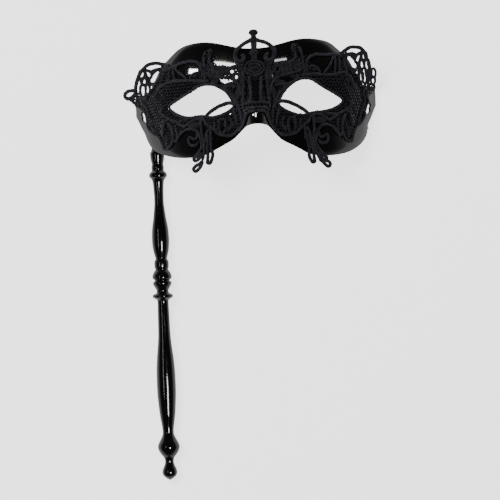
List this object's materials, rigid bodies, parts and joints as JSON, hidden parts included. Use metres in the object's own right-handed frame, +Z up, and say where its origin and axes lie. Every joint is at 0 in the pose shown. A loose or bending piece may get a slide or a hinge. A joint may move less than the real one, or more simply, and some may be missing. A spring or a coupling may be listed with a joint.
{
  "type": "lace mask on a handle",
  "caption": "Half-face masquerade mask: glossy moulded shell with almond eye openings, covered in corded lace with open wings at the temples, on a long turned handle.",
  "frame": {"origin": "on the surface that the mask lies on, under the middle of its box", "axes": "+Z up, out of the mask's face; +Y towards the forehead edge; +X to the right of the face as seen from the front"},
  "size_m": [0.1864, 0.3194, 0.073],
  "materials": {
    "shell_gloss": "high gloss, moulded",
    "lace": "matt corded thread, stiffened",
    "handle_gloss": "gloss lacquer",
    "glue": "hot glue, dull"
  },
  "bodies": {
    "root": {"mask_shell": "shell_gloss", "lace_left": "lace", "lace_right": "lace", "lace_crest": "lace", "handle": "handle_gloss", "glue_bed": "glue"}
  },
  "joints": []
}
